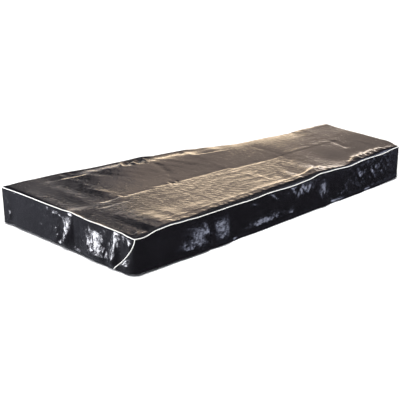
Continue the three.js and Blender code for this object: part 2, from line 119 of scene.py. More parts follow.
# Hanging folds of the skirts: place, lean by the hem, half width, depth (outward over 0), and the
# part of the depth that is left at the hem
FOLDS = {
    "front": (
        (120, 10, 90, 2, 0.6), (300, 6, 58, 11, 0.5), (366, -4, 14, -6, 0.4), (414, 6, 52, 11, 0.4),
        (474, 6, 16, -5, 0.3), (520, 8, 40, -3, 0.9), (850, 12, 44, 2, 0.4), (964, 10, 28, 8, 0.5),
        (1035, 0, 36, -4, 0.6), (1190, 0, 26, 3, 0.5), (1230, 0, 24, -3, 0.5), (1275, 0, 24, 1.5, 0.5),
    ),
    "narrow_end": ((95, 8, 45, 5, 0.4), (190, -6, 40, -5, 0.4), (290, 10, 46, 5, 0.4)),
    "back": (
        (120, 6, 55, 5, 0.4), (240, -10, 40, -6, 0.4), (370, 12, 80, 6, 0.4), (520, -14, 34, -6, 0.4),
        (650, 8, 70, 7, 0.4), (790, 10, 30, -6, 0.4), (880, -6, 46, 7, 0.4), (1010, 10, 50, -5, 0.4),
        (1160, 0, 90, 6, 0.4), (1330, -10, 46, -4, 0.4),
    ),
    "wide_end": (
        (52, 10, 24, -3, 1), (175, 0, 95, 0.8, 0.5), (316, -6, 15, 2, 0.3), (343, -8, 14, -4, 0.2),
        (376, -6, 22, 12, 0.1), (434, 6, 24, -3, 0.2), (518, -4, 46, 12, 0.2), (566, -6, 15, 3, 0.2),
        (596, -8, 16, -3, 0.2), (634, -8, 26, 12, 0.2), (700, 0, 20, 4, 0.3),
    ),
}
# Shares of the drop at which the folds of each side start and are full, and their fade to a corner
FOLD_SPAN = {"front": (0.15, 0.9), "narrow_end": (0.03, 0.72), "back": (0.03, 0.72), "wide_end": (0.06, 0.86)}
FOLD_CLEAR = 60

# Pulls and dents of the skirts: place along the seam, distance below it, angle of the ridge (90
# runs straight down), half length, half width, depth
PULLS = {
    "front": (
        (234, 116, 0, 34, 24, 5.5), (228, 92, 90, 18, 8, 1.2), (335, 44, 65, 22, 8, 1.4),
        (340, 66, 20, 26, 10, 1.8), (366, 60, 92, 44, 6, -2.5), (446, 70, 88, 50, 6, 1.2),
        (585, 24, 20, 16, 6, 1.2), (640, 112, 0, 105, 24, 4.5), (692, 26, 42, 26, 8, 2),
        (788, 122, 0, 15, 28, 5), (798, 26, 60, 22, 8, 1.8), (826, 30, 120, 22, 8, -1.8),
        (858, 32, 55, 22, 8, 2), (886, 36, 115, 20, 7, 1.6), (965, 74, 112, 30, 9, 2),
        (1020, 118, 30, 18, 9, 2.4), (1076, 122, 20, 24, 10, 2.6), (1110, 100, 60, 22, 8, 1.4),
        (1180, 56, 70, 24, 8, 1.8), (1262, 66, 60, 26, 8, 2), (1284, 50, 120, 18, 7, 1.4),
        (-48, 112, 70, 40, 20, 5), (845, 46, 0, 60, 26, 3),
    ),
    "narrow_end": (
        (70, 40, 60, 30, 8, 2), (150, 50, 100, 34, 9, -2), (240, 35, 70, 26, 8, 2),
        (330, 60, 115, 30, 8, -2),
    ),
    "back": (
        (180, 40, 60, 30, 8, 2.2), (330, 45, 110, 32, 9, -2.2), (470, 35, 70, 28, 8, 2.2),
        (600, 60, 100, 36, 9, -2), (760, 40, 65, 30, 8, 2.4), (930, 45, 115, 30, 8, -2.2),
        (1100, 50, 80, 34, 9, 2.2), (1250, 40, 60, 30, 8, -2),
    ),
    "wide_end": (
        (55, 64, 40, 44, 8, 0.8), (46, 92, 88, 15, 7, 3.2), (316, 112, 126, 40, 9, 2),
        (374, 100, 98, 58, 9, 2.2), (412, 62, 90, 46, 6, -2.4), (410, 116, 90, 40, 5, 1.6),
        (512, 24, 0, 44, 15, -2), (488, 90, 84, 60, 8, 1.2), (540, 96, 96, 60, 10, 2.4),
        (504, 26, 90, 15, 15, 2), (268, 18, 60, 10, 7, 1.2), (300, 22, 110, 10, 6, 1.2),
        (590, 118, 0, 34, 20, 4), (634, 60, 97, 52, 18, 5), (676, 28, 85, 18, 8, 2.6),
        (708, 34, 75, 18, 9, 2.6), (374, 116, 0, 18, 30, 4), (545, 118, 0, 36, 34, 4.5),
        (632, 100, 0, 22, 40, 4), (392, 64, 90, 52, 15, 5), (344, 104, 90, 24, 10, -1.5),
        (578, 100, 84, 26, 9, 2), (706, 30, 50, 22, 7, 2.6), (338, 26, 25, 18, 6, 1.4),
        (306, 24, 160, 16, 6, 1.2), (582, 30, 60, 22, 7, 1.8), (486, 72, 86, 44, 6, -2),
        (502, 76, 93, 46, 6, -2.2), (518, 70, 88, 40, 6, -1.8),
    ),
}

# Crumpled places of the skirts: place, distance below the seam, half extents, height
CRUMPLES = {
    "front": (
        (235, 100, 40, 24, 1.5), (405, 70, 44, 50, 1.2), (300, 66, 50, 44, 1.4), (640, 100, 95, 24, 2.4),
        (850, 36, 60, 28, 2), (965, 56, 36, 36, 1.6), (1075, 96, 60, 30, 1.6), (1190, 60, 60, 40, 2),
        (1290, 55, 70, 40, 2), (-50, 96, 34, 26, 2),
    ),
    "narrow_end": ((100, 60, 60, 40, 2), (290, 60, 60, 40, 2)),
    "back": (
        (220, 60, 90, 40, 2.2), (560, 60, 120, 40, 2.4), (900, 60, 110, 40, 2.4), (1250, 60, 80, 40, 2),
    ),
    "wide_end": (
        (350, 66, 44, 50, 2.2), (508, 70, 48, 50, 2.4), (590, 84, 40, 44, 3), (640, 40, 46, 36, 2.2),
        (440, 80, 40, 40, 1.8), (270, 80, 60, 30, 1.4),
    ),
}
# Crinkle of the skirts: height, what a crumpled place adds as a part of its height, how far it is
# drawn out downwards, pitch, step of the seed
SKIRT_CRINKLES = ((0.3, 1.0, 0.45, 34, 0), (0.0, 0.25, 0.35, 13, 3))
SKIRT_SEEDS = (20, 10)  # of the front, and the step from side to side
SKIRT_FADE = (1, 9, 12)  # flat strip along the seams, then growth below the top and beside a corner seam

# Storage creases of the top panel: half width on the right and left of its run, rise, points
CREASES = (
    (6, 14, -0.8, ((-556, 0), (-470, 10), (-343, 15))),
    (7, 18, -1.0, ((-290, 28), (-215, 28), (22, 29))),
    (9, 20, -0.8, ((52, 15), (150, 8), (250, 0))),
    (6, 20, 0.9, ((300, 4), (400, 3), (480, 4), (552, 0))),
    (14, 12, -2.2, ((554, -4), (545, -76))),
    (6, 13, -0.8, ((-602, -48), (-488, -42))),
    (100, 42, 7.5, ((-400, 268), (-300, 257), (-230, 233), (-60, 207), (10, 199))),
    (28, 28, 1.5, ((-512, 320), (-490, 60), (-480, 10))),
    (13, 15, -1.2, ((-135, 290), (-165, 120), (-222, 20))),
    (12, 12, 0.6, ((28, 265), (38, 20))),
    (12, 12, -0.6, ((282, 150), (290, 30), (275, -60))),
    (6, 10, 0.8, ((-560, -306), (-380, -282), (-200, -260), (0, -246), (180, -224))),
)
CREASE_WAVES = (0.35, 0.7, 80, 40)  # their unevenness: part of the rise, slant, pitch, first seed

# Broad swells of the top panel: x, y, half extents, rise
SWELLS = (
    (-600, 190, 38, 160, 1.2), (-548, 190, 36, 160, -0.9), (-365, 170, 42, 170, -0.7),
    (-316, 190, 36, 150, 0.6), (130, 205, 55, 45, 3), (625, -150, 40, 60, 3), (545, -160, 170, 45, -2.2),
    (450, -214, 75, 28, 2.4), (606, -192, 50, 32, 3.4), (-390, 262, 110, 75, -4), (-390, -255, 85, 50, 2.6),
)
# The panel was stored folded along a line near its middle, so it lies in a shallow trough of two
# nearly flat halves: middle and half length along X, depth, power of the flanks
FOLD_LINE = ((-710, 0), (-556, 0), (-400, 14), (-300, 28), (22, 29), (70, 14), (250, 0), (710, 0))
TROUGH = (-60, 520, 15, 0.85)
TROUGH_END = (240, 350, 0.5)  # from and to in x, where the trough loses this part of its depth
FACET = (-597, -20, 45, 1.5)  # ridge x, back y, fade and fall of the slack facet at the wide end
# Bands that roll down to the seams, by the distance along each side
ROLL = {
    "front": ((0, 18), (90, 9), (250, 9), (340, 18), (880, 18), (1000, 9), (1430, 9)),
    "narrow_end": ((0, 16), (388, 16)),
    "back": ((0, 30), (500, 30), (620, 24), (1430, 24)),
    "wide_end": ((0, 18), (725, 18)),
}
# Weight of each seam in the roll: its distance in widths of the band, and a little more, to a power.
# The little is less on the edge itself, where the seam's own height is met
ROLL_POWER = -3.0
ROLL_SHARP = 1e-4
ROLL_SOFT = 0.02
# How the panel follows the rises of its seams: for each side, how far in from it that stays level,
# the reach and power with which it then dies out, and by the distance along the side the part followed
FOLLOW = {
    "front": (30, 130, 2, ((0, 0), (50, 0), (110, 1), (250, 1), (360, 0.3), (850, 0.3), (1050, 1.1),
                           (1430, 1.1))),
    "narrow_end": (0, 50, 2, ((0, 0.7), (388, 0.7))),
    "back": (0, 60, 1, ((0, 0.8), (540, 0.8), (660, 0.15), (1430, 0.15))),
    "wide_end": (0, 50, 2, ((0, 0.45), (380, 0.45), (470, 0), (725, 0))),
}

# Pulls of the top panel: x, y, angle of the ridge from +X, half length, half width, rise
TOP_PULLS = (
    (-474, 14, 60, 20, 6, 1.0), (-458, 16, 120, 20, 6, -1.1), (-240, 30, 60, 16, 5, 1.2),
    (-225, 33, 110, 14, 5, -1.3), (-208, 32, 70, 12, 5, 1.2), (-195, 30, 120, 12, 5, -1.0),
    (36, -90, 88, 45, 7, 0.8), (48, -150, 82, 60, 7, 0.8), (640, -90, 95, 40, 10, 1.0),
    (60, -208, 56, 50, 9, 0.9), (95, -196, 66, 60, 9, -1.0), (130, -200, 74, 46, 9, 0.9),
    (165, -190, 84, 50, 9, -0.9), (-676, -334, 40, 14, 5, 1.6), (-690, -318, 60, 12, 5, -1.4),
    (-660, -346, 20, 14, 5, 1.5), (440, -208, 40, 26, 7, 3.5), (470, -200, 55, 26, 8, 3.5),
    (498, -192, 35, 26, 8, 4.0), (526, -186, 60, 26, 8, 4.0), (552, -182, 45, 24, 8, 4.0),
    (578, -180, 60, 24, 9, 3.5), (612, -198, 8, 52, 26, 3.2), (598, -184, 50, 20, 7, 2.0),
    (200, -218, 30, 24, 8, 2.5), (222, -212, 40, 24, 7, 3.2), (244, -208, 55, 26, 7, 3.6),
    (264, -206, 35, 22, 7, 3.4), (284, -204, 60, 22, 7, 3.0), (-250, 285, 50, 24, 8, 3.5),
    (-225, 280, 30, 24, 8, -3.0), (-200, 272, 60, 26, 9, 4.0), (-172, 276, 40, 24, 8, -3.5),
    (-150, 272, 70, 24, 8, 3.0), (-38, 236, -6, 62, 16, 1.6), (110, 240, -8, 60, 18, -1.4),
    (335, -206, -10, 60, 30, -2.6),
)
# Runs of puckers that the sewing draws in beside the long seams: side, from and to in x, number,
# distance in from the seam, half length, half width, rise
PUCKERS = (
    ("front", -560, -200, 15, 15, 11, 7, 1.0), ("front", -195, -105, 5, 17, 12, 6, 1.0),
    ("front", -95, 160, 11, 15, 11, 7, 1.0), ("front", 165, 335, 10, 20, 16, 7, 1.4),
    ("front", 440, 645, 11, 20, 18, 8, 1.5), ("back", -245, -120, 7, 28, 26, 8, 1.6),
    ("back", -4, 46, 3, 28, 28, 8, 1.1), ("back", 430, 565, 7, 22, 20, 8, 1.0),
    ("back", -565, -380, 10, 14, 14, 7, 0.7),
)
PUCKER_SEED = 12
PUCKER_PLAY = np.array([0.45, 30, 0.3, 0.7, 7])  # of the place, angle, length, rise and distance in
PUCKER_RISE = 0.8  # mean rise, as a part of the run's

# Crinkle of the top panel: height, what handling adds to it, pitch, seed
TOP_CRINKLES = ((0.35, 0.55, 60, 5), (0.16, 0.36, 24, 6), (0.05, 0.06, 13, 14))
HANDLED = (40, -110, 420, 4)  # width of the change at the fold, middle, half length and power along X
TOP_FADE = 14  # distance in from the seams over which the fine relief grows
# Gathers beside the seams: height, pitch, the part that comes and goes, its pitch, reach from the seam
TOP_GATHERS = (0.8, 24, 0.45, 170, 16)
TOP_GATHER_SEED = 8
TOP_GATHER_SLANT = 3  # how far the gathers of the top lean over
SKIRT_GATHERS = (0.7, 21, 0.4, 140, 17)
FILM_WAVES = ((1.0, 1.0), (0.55, 1.8), (0.3, 3.1))  # weight and fineness of a crumpled film's families
FILM_TURNS = 3  # waves in each family, each turned its own way
FILM_BEND = (0.45, 1.3)  # depth and pace of the slow wave that bends them
FILM_MEAN = 0.64  # mean of |sin|
RIPPLES = (0.62, 0.81, 1.0, 1.37, 1.9)  # lengths of a ripple's sines, in pitches
RIPPLE_SUM = 2.6  # by which their sum is divided

SKIRT_COLUMNS = (620, 170, 420, 330)  # of the grid of each skirt
SKIRT_ROWS = 50
HEM_ROWS = np.array([-0.006, 0.006])  # two more rows beside the hem's fold line, as shares of the drop
# Grid of the top panel: columns and rows, and where they crowd: share, half width, weight
TOP_COLUMNS = (322, ((0.37, 0.05, 0.5), (0.68, 0.05, 0.8), (0.87, 0.08, 1.0)))
TOP_ROWS = (154, ((0, 0.05, 1.5), (0.48, 0.035, 2.5), (1, 0.06, 1.8)))
CORD_SIDES = 16  # points round a cord
CORD_STEP = 3.4  # between the rings of the top cord
CORD_RINGS = 44  # of a corner cord, between its ends
CORD_TIP = (0.006, 0.75)  # its narrowed ends: length as a share of the drop, part of the radius
BEAD_WAVES = (0.97, 0.03, 26, 3)  # radius of the top cord: mean, part that ripples, pitch, seed
SHEET_SHARP = 50  # angle in degrees above which an edge of a sheet is shaded sharp
CORD_SHARP = 80  # and of a cord


def linear(code):
    """Linear colour of an sRGB hex value: each channel by the standard curve."""
    srgb = np.array([int(code[k:k + 2], 16) / 255 for k in (0, 2, 4)])
    curve = np.where(srgb <= 0.04045, srgb / 12.92, ((srgb + 0.055) / 1.055) ** 2.4)
    return tuple(float(value) for value in curve)


class CoverSizes(bpy.types.PropertyGroup):
    """Sizes of the cover."""

    length: bpy.props.FloatProperty(
        name="Length", description="Seam to seam along the instrument", default=1.42, unit="LENGTH")
    wide_end: bpy.props.FloatProperty(
        name="Wide end", description="Seam to seam across the low-note end", default=0.725, unit="LENGTH")
    narrow_end: bpy.props.FloatProperty(
        name="Narrow end", description="Seam to seam across the high-note end", default=0.388,
        unit="LENGTH")
    drop: bpy.props.FloatProperty(
        name="Drop", description="From the top seam down to the hem", default=0.124, unit="LENGTH")
    cloth: bpy.props.FloatProperty(
        name="Cloth", description="Thickness of the vinyl cloth", default=0.0015, unit="LENGTH")
    piping: bpy.props.FloatProperty(
        name="Piping", description="Radius of the piping's bead", default=0.0015, unit="LENGTH")
    hem: bpy.props.FloatProperty(
        name="Hem", description="Height of the turned-up hem", default=0.014, unit="LENGTH")
    stitch: bpy.props.FloatProperty(
        name="Stitch", description="Spacing of the hem's stitches", default=0.0042, unit="LENGTH")


class CoverColours(bpy.types.PropertyGroup):
    """Colours of the cover and its floor."""

    vinyl: bpy.props.FloatVectorProperty(
        name="Vinyl", description="Outer face of the cloth", subtype="COLOR", default=linear("100f12"))
    backing: bpy.props.FloatVectorProperty(
        name="Backing", description="Knitted inner face of the cloth", subtype="COLOR",
        default=linear("2b2a2c"))
    piping: bpy.props.FloatVectorProperty(
        name="Piping", description="Vinyl over the piping cord", subtype="COLOR",
        default=linear("e4e2dc"))
    thread: bpy.props.FloatVectorProperty(
        name="Thread", description="Sewing thread of the hem", subtype="COLOR",
        default=linear("1c1b1f"))
    floor: bpy.props.FloatVectorProperty(
        name="Floor", description="Studio floor", subtype="COLOR", default=linear("f6f6f6"))


class Cut:
    """Sizes in millimetres and the plan's four sides, worked out once for every piece."""

    def __init__(self, sizes):
        for name in CoverSizes.__annotations__:
            setattr(self, name, getattr(sizes, name) / MM)
        self.hang = self.piping + GAP
        half = self.length / 2
        self.corner = np.array([(-half, -self.wide_end / 2), (half, -self.narrow_end / 2),
                                (half, self.narrow_end / 2), (-half, self.wide_end / 2)]) + EARS
        run = np.roll(self.corner, -1, axis=0) - self.corner
        self.side = np.hypot(run[:, 0], run[:, 1])
        self.along = run / self.side[:, None]
        self.out = np.stack([self.along[:, 1], -self.along[:, 0]], axis=1)
        self.start = np.concatenate([[0], np.cumsum(self.side)[:-1]])
        self.loop = self.side.sum()
        before = np.roll(self.along, 1, axis=0)
        self.turn = np.arccos(np.clip((before * self.along).sum(1), -1, 1))
        self.level = relief(self, 0.0, 0.0)

    def width(self, share):
        """Width of the cut at a share of its length from the wide end."""
        return mix(self.wide_end, self.narrow_end, share)


def ease(share):
    """Smooth step: 3t^2 - 2t^3 of the share held between 0 and 1."""
    t = np.clip(share, 0, 1)
    return t * t * (3 - 2 * t)


def mix(a, b, share):
    """Straight blend from a to b."""
    return a + (b - a) * share


def table_at(rows, at):
    """Value of a table of (place, value) rows, eased from row to row."""
    places, values = np.array(rows, float).T
    k = np.clip(np.searchsorted(places, at) - 1, 0, len(places) - 2)
    return mix(values[k], values[k + 1], ease((at - places[k]) / (places[k + 1] - places[k])))


def locate(cut, place):
    """Side number and distance along it of a place on the loop, which is taken round."""
    place = np.mod(np.asarray(place, float), cut.loop)
    k = np.clip(np.searchsorted(cut.start, place + 1e-9, side="right") - 1, 0, 3)
    return k, place - cut.start[k]


def by_side(cut, place, value):
    """Array of value(side name, distance) with each place using its own side."""
    k, at = locate(cut, place)
    return np.choose(k, [value(name, at) for name in SIDES])


def outline(cut, place, share):
    """Plan point and outward normal of the rounded outline at a place and share of the drop.

    Along a side the point runs straight. Within a corner's run, radius x tan(half turn), the
    distance turns the normal evenly about the corner's centre, so the path is an arc.
    """
    place, share = np.broadcast_arrays(np.asarray(place, float), np.asarray(share, float))
    k, at = locate(cut, place)
    after = (k + 1) % 4
    turn_a, turn_b = cut.turn[k] / 2, cut.turn[after] / 2
    radius_a = mix(SEAM_RADIUS[k], HEM_RADIUS[k], share)
    radius_b = mix(SEAM_RADIUS[after], HEM_RADIUS[after], share)
    run_a, run_b = radius_a * np.tan(turn_a), radius_b * np.tan(turn_b)
    left = cut.side[k] - at
    first, last = at < run_a, left < run_b
    base = np.where(first, run_a, np.where(last, cut.side[k] - run_b, at))
    radius = np.where(first, radius_a, np.where(last, radius_b, 0))
    swing = np.where(first, turn_a * (at / run_a - 1), np.where(last, turn_b * (1 - left / run_b), 0))
    along, out = cut.along[k], cut.out[k]
    normal = out * np.cos(swing)[..., None] + along * np.sin(swing)[..., None]
    return cut.corner[k] + along * base[..., None] + (normal - out) * radius[..., None], normal


def seam_height(cut, place):
    """Height of the top seam: its level and the rise of its side's table."""
    return SEAM_LEVEL + by_side(cut, place, lambda name, at: table_at(SEAM_RISE[name], at))


def hem_height(cut, place):
    """Height of the hem: the drop below the seam's level and the rise of its side's table."""
    return SEAM_LEVEL - cut.drop + by_side(cut, place, lambda name, at: table_at(HEM_RISE[name], at))


def fold_push(cut, place, share):
    """Outward push of the hanging folds: a sum of bells along the seam, each leaning down the
    drop, growing below the seam, changing towards the hem and dying out near the corners."""
    k, at = locate(cut, place)
    start, full = np.array([FOLD_SPAN[name] for name in SIDES])[k].transpose(-1, *range(k.ndim))
    risen = ease((share - start) / (full - start))
    lower = ease((share - full) / (1 - full))
    clear = ease(np.minimum(at, cut.side[k] - at) / FOLD_CLEAR)

    def bells(name, at):
        return sum(depth * mix(1, left, lower) * np.exp(-((at - spot - lean * share) / half) ** 2)
                   for spot, lean, half, depth, left in FOLDS[name])

    return by_side(cut, place, bells) * risen * clear


def crumple(p, q, pitch, seed):
    """Creased-film noise about 0: families of folded waves, mean - |sin|, each turned its own way
    and bent by a slow wave, with finer families weaker."""
    rng = np.random.default_rng(seed)
    depth, pace = FILM_BEND
    total = 0.0
    for weight, finer in FILM_WAVES:
        for turn, phase, bend in rng.uniform(0, 2 * np.pi, (FILM_TURNS, 3)):
            along = (p * np.cos(turn) + q * np.sin(turn)) * finer / pitch
            across = (q * np.cos(turn) - p * np.sin(turn)) * finer / pitch
            wave = np.sin(np.pi * (along + depth * np.sin(pace * across + bend)) + phase)
            total = total + weight * (FILM_MEAN - np.abs(wave))
    return total / FILM_TURNS


def ripple(p, pitch, seed):
    """Uneven waves along one distance: five sines round a pitch, with seeded phases."""
    phases = np.random.default_rng(seed).uniform(0, 2 * np.pi, len(RIPPLES))
    return sum(np.sin(2 * np.pi * p / (pitch * stretch) + phase) / RIPPLE_SUM
               for stretch, phase in zip(RIPPLES, phases))


def gathers(shape, along, slow, away, seed):
    """Gathers that sewing draws in beside a seam: waves along it that come and go with a slower
    wave and fade from it as exp(-distance / reach)."""
    height, pitch, part, swell, reach = shape
    come = 1 - part + part * ripple(slow, swell, seed + 1)
    return height * ripple(along, pitch, seed) * come * np.exp(-away / reach)


def pulls(rows, p, q):
    """Sum of long bells: each falls off as exp(-(a/long)^2 - (b/wide)^2), with a measured along
    its ridge and b across it."""
    total = 0.0
    for p0, q0, angle, long, wide, depth in rows:
        c, s = math.cos(math.radians(angle)), math.sin(math.radians(angle))
        a = (p - p0) * c + (q - q0) * s
        b = (q - q0) * c - (p - p0) * s
        total = total + depth * np.exp(-(a / long) ** 2 - (b / wide) ** 2)
    return total


def pucker_rows(cut):
    """Rows of pulls for the puckers: each run is spread evenly and then moved, turned, lengthened and
    raised unevenly by seeded draws, with rises and dips in turn."""
    rng = np.random.default_rng(PUCKER_SEED)
    rows = []
    for side, first, last, count, inset, long, wide, rise in PUCKERS:
        for k in range(count):
            shift, turn, stretch, part, step = PUCKER_PLAY * rng.uniform(-1, 1, 5)
            x = mix(first, last, (k + 0.5 + shift) / count)
            edge = cut.width(x / cut.length + 0.5) / 2 - inset - step
            rows.append((x, -edge if side == "front" else edge, 90 + turn, long * (1 + stretch), wide,
                         rise * (PUCKER_RISE + part) * (1 if k % 2 else -1)))
    return tuple(rows)


def skirt_detail(cut, place, below, beside, side):
    """Outward push of what is finer than the folds: pulls, crumpled places, gathers under the top
    seam and a faint crinkle all over. It fades out at the seams and is held flat by the hem."""
    seed = SKIRT_SEEDS[0] + SKIRT_SEEDS[1] * side

    def own(name, at):
        patches = sum(height * np.exp(-((at - spot) / half) ** 2 - ((below - deep) / tall) ** 2)
                      for spot, deep, half, tall, height in CRUMPLES[name])
        return sum(((still + part * patches) * crumple(at, below * drawn, pitch, seed + step)
                    for still, part, drawn, pitch, step in SKIRT_CRINKLES), pulls(PULLS[name], at, below))

    k, at = locate(cut, place)
    # the stretch wrapped round the near corner reads the front's tables at negative distances
    local = np.where(place < 0, place, at)
    fine = np.choose(np.where(place < 0, 0, k), [own(name, local) for name in SIDES])
    held, change = HEM_HELD
    hem = mix(1, held, ease((below - (cut.drop - cut.hem - change)) / change))
    sewn = gathers(SKIRT_GATHERS, place, place, below, seed + 1)
    flat, under, aside = SKIRT_FADE
    return (fine * hem + sewn) * ease((below - flat) / under) * ease((beside - flat) / aside)


def wall(cut, place, share, outward):
    """Point of a skirt's middle surface, moved outward: the rounded outline pushed by the folds,
    at a height blended from below the top piping to the hem."""
    plan, normal = outline(cut, place, share)
    push = fold_push(cut, place, share) + outward
    z = mix(seam_height(cut, place) - cut.hang, hem_height(cut, place), share)
    return np.concatenate([plan + normal * push[..., None], z[..., None]], axis=-1)


def corner_seam(cut, k, share):
    """Place of a corner seam: its corner less the slip times the share to a power."""
    return cut.start[k] - SLIP[k] * share ** SLIP_POWER


def side_seams(cut, k, share):
    """Places of the corner seams at both ends of a side, counted on past the end of the loop."""
    end = (k + 1) % 4
    return corner_seam(cut, k, share), corner_seam(cut, end, share) + (cut.loop if end == 0 else 0)


def seam_stretch(cut, k, share):
    """How much a level cut of a slanting corner seam is wider than the seam."""
    return np.hypot(1, SLIP[k] * SLIP_POWER * share ** (SLIP_POWER - 1) / cut.drop)


def beside_seam(cut, k, share):
    """Distance on the loop from a corner seam to its cloth: more on the rounded corner, where the
    loop's distances are drawn together by tan(half turn) / half turn."""
    half = cut.turn[k] / 2
    run = mix(SEAM_RADIUS[k], HEM_RADIUS[k], share) * math.tan(half)
    past = np.clip((cut.start[k] - corner_seam(cut, k, share)) / run - 1, 0, 1)
    return cut.hang * seam_stretch(cut, k, share) * mix(math.tan(half) / half, 1, past)


def seam_follow(cut, x, y):
    """How far the panel follows its seams: for each side a part of the rise of the seam beside the
    point, level for a distance in from the side and then fading as exp(-(distance / reach)^power)."""
    u = np.clip(x / cut.length + 0.5, 0, 1)
    width = cut.width(u)
    v = np.clip(0.5 - y / width, 0, 1)
    beside = ((u, width * (1 - v)), (1 - v, cut.length * (1 - u)), (1 - u, width * v), (v, cut.length * u))
    total = 0.0
    for k, (share, inward) in enumerate(beside):
        level, reach, power, parts = FOLLOW[SIDES[k]]
        at = share * cut.side[k] * (1 - 1e-9)
        rise = seam_height(cut, cut.start[k] + at) - SEAM_LEVEL
        fade = np.exp(-(np.maximum(inward - level, 0) / reach) ** power)
        total = total + table_at(parts, at) * rise * fade
    return total


def relief(cut, x, y):
    """Height of the top panel before it rolls to its seams: the part that follows them, bells across
    creases, broad bells, the trough with its two flanks, and the slack facet, which falls in a
    straight slope to the wide end."""
    x, y = np.asarray(x, float), np.asarray(y, float)
    total = sum(rise * np.exp(-((x - x0) / half_x) ** 2 - ((y - y0) / half_y) ** 2)
                for x0, y0, half_x, half_y, rise in SWELLS)
    part, slant, pitch, seed = CREASE_WAVES
    for number, (right, left, rise, points) in enumerate(CREASES):
        nearest, half = np.full(x.shape, 1e9), np.full(x.shape, float(right))
        for (ax, ay), (bx, by) in zip(points[:-1], points[1:]):
            dx, dy = bx - ax, by - ay
            share = np.clip(((x - ax) * dx + (y - ay) * dy) / (dx * dx + dy * dy), 0, 1)
            off_x, off_y = x - ax - dx * share, y - ay - dy * share
            away = np.hypot(off_x, off_y)
            half = np.where(away < nearest, np.where(dx * off_y > dy * off_x, left, right), half)
            nearest = np.minimum(nearest, away)
        uneven = 1 + part / max(1, abs(rise)) * ripple(x + slant * y, pitch, seed + number)
        total = total + rise * uneven * np.exp(-(nearest / half) ** 2)
    middle, half_x, depth, power = TROUGH
    half_y = cut.width(np.clip(x / cut.length + 0.5, 0, 1)) / 2
    flank = np.clip(1 - np.abs(y - table_at(FOLD_LINE, x)) / half_y, 0, 1) ** power
    first, last, lost = TROUGH_END
    depth = depth * (1 - lost * ease((x - first) / (last - first)))
    total = total - depth * flank * np.exp(-((x - middle) / half_x) ** 2)
    ridge, back, fade, fall = FACET
    fallen = np.clip((x - ridge) / (-cut.length / 2 - ridge), 0, 1)
    return total + seam_follow(cut, x, y) - fall * fallen * ease((back - y) / fade)


def handled(x, y):
    """Share by which the film is crumpled from handling: the half of the panel in front of its fold,
    more to the middle of the length."""
    change, middle, half, power = HANDLED
    front = ease((table_at(FOLD_LINE, x) - y) / change + 0.5)
    return front * np.exp(-((x - middle) / half) ** power)


def panel_edge(cut, side, at):
    """Point of the top panel's edge beside the piping: the outline moved in by the hang."""
    place = cut.start[side] + at
    plan, normal = outline(cut, place, 0.0)
    return np.concatenate([plan - normal * cut.hang, seam_height(cut, place)[..., None]], axis=-1)


def top_grid(cut, u, v):
    """Underside of the top panel on a grid of shares u along and v from back to front.

    The plan is a Coons patch: the blend of the two long edges plus that of the two ends less the
    blend of the four corners. The height rises from the nearest seams to the relief along a
    parabola, 1 - (1 - t)^2, with each seam weighted by its distance to a power below 0.
    """
    fronts = panel_edge(cut, 0, u * cut.side[0])
    backs = panel_edge(cut, 2, (1 - u) * cut.side[2])
    wides = panel_edge(cut, 3, v * cut.side[3] * (1 - 1e-12))
    narrows = panel_edge(cut, 1, (1 - v) * cut.side[1])
    uu, vv = u[None, :], v[:, None]
    a, b = uu[..., None], vv[..., None]
    plan = ((1 - b) * backs[None] + b * fronts[None] + (1 - a) * wides[:, None] + a * narrows[:, None]
            - (1 - a) * ((1 - b) * backs[0] + b * fronts[0])
            - a * ((1 - b) * backs[-1] + b * fronts[-1]))[..., :2]
    x, y = plan[..., 0], plan[..., 1]
    width = cut.width(uu)
    inside = [vv * width, (1 - vv) * width, uu * cut.length + 0 * vv, (1 - uu) * cut.length + 0 * vv]
    along = ((1 - uu) * cut.side[2], uu * cut.side[0], vv * cut.side[3], (1 - vv) * cut.side[1])
    away = np.stack([reach / table_at(ROLL[name], at) for reach, at, name in
                     zip(inside, along, ("back", "front", "wide_end", "narrow_end"))])
    seams = np.stack(np.broadcast_arrays(backs[None, :, 2], fronts[None, :, 2], wides[:, None, 2],
                                         narrows[:, None, 2]))
    sharp, soft = ((seams * weight).sum(0) / weight.sum(0) for weight in
                   ((away + ROLL_SHARP) ** ROLL_POWER, (away + ROLL_SOFT) ** ROLL_POWER))
    seam = np.where(away.min(0) < 1e-6, sharp, soft) - cut.cloth / 2
    risen = 1 - (1 - np.minimum(away.min(0), 1)) ** 2
    edge = np.min(np.stack(np.broadcast_arrays(*inside)), axis=0)
    worn = handled(x, y)
    fine = sum(((still + more * worn) * crumple(x, y, pitch, seed)
                for still, more, pitch, seed in TOP_CRINKLES), pulls(TOP_PULLS + pucker_rows(cut), x, y))
    fine = fine + gathers(TOP_GATHERS, x + TOP_GATHER_SLANT * y, x - y, edge, TOP_GATHER_SEED)
    height = mix(seam, relief(cut, x, y) - cut.level, risen) + fine * ease(edge / TOP_FADE)
    return np.concatenate([plan, height[..., None]], axis=-1)


